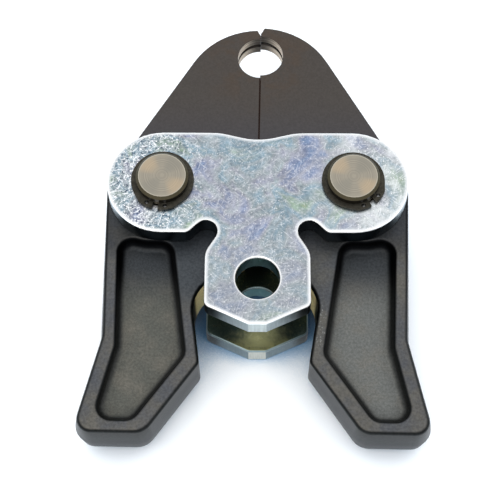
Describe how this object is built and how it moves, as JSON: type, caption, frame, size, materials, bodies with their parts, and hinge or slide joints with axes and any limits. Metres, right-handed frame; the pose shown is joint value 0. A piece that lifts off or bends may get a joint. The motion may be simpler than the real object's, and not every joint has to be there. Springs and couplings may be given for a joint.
{
  "type": "press fitting tool jaw",
  "caption": "Closed steel press jaw: forged arms with a round press profile at the tip and pocketed handles, turning on pins held between zinc plated side plates.",
  "frame": {"origin": "bottom centre of the bounding box, on the plane of the pivot pins' rear ends", "axes": "+Y from the handles to the jaw's tip, +Z out of the front side plate along the pivot pins, +X to the right seen from the front"},
  "size_m": [0.1108, 0.1494, 0.0414],
  "materials": {
    "zinc_plate": "zinc plated and passivated, mottled",
    "black_oxide_steel": "forged, black oxide",
    "turned_steel": "turned faces, browned sides",
    "phosphated_spring_steel": "phosphated"
  },
  "bodies": {
    "side_plates": {"side_plate_front": "zinc_plate", "side_plate_rear": "zinc_plate", "pivot_pin_left": "turned_steel", "pivot_pin_right": "turned_steel", "retaining_ring_front_left": "phosphated_spring_steel", "retaining_ring_front_right": "phosphated_spring_steel", "retaining_ring_rear_left": "phosphated_spring_steel", "retaining_ring_rear_right": "phosphated_spring_steel", "closing_spring": "phosphated_spring_steel"},
    "left_arm": {"jaw_arm_left": "black_oxide_steel"},
    "right_arm": {"jaw_arm_right": "black_oxide_steel"}
  },
  "joints": [
    {"name": "left_arm_hinge", "type": "hinge", "parent": "side_plates", "child": "left_arm", "pos_m": [-0.02958, 0.00858, 0.0207], "axis": [0, 0, 1], "range_deg": [0, 11], "stiffness_Nm_per_rad": 2.5, "springref_deg": -14.32, "deforming": ["closing_spring"]},
    {"name": "right_arm_hinge", "type": "hinge", "parent": "side_plates", "child": "right_arm", "pos_m": [0.03202, 0.00858, 0.0207], "axis": [0, 0, -1], "range_deg": [0, 11], "stiffness_Nm_per_rad": 2.5, "springref_deg": -14.32, "deforming": ["closing_spring"]}
  ]
}
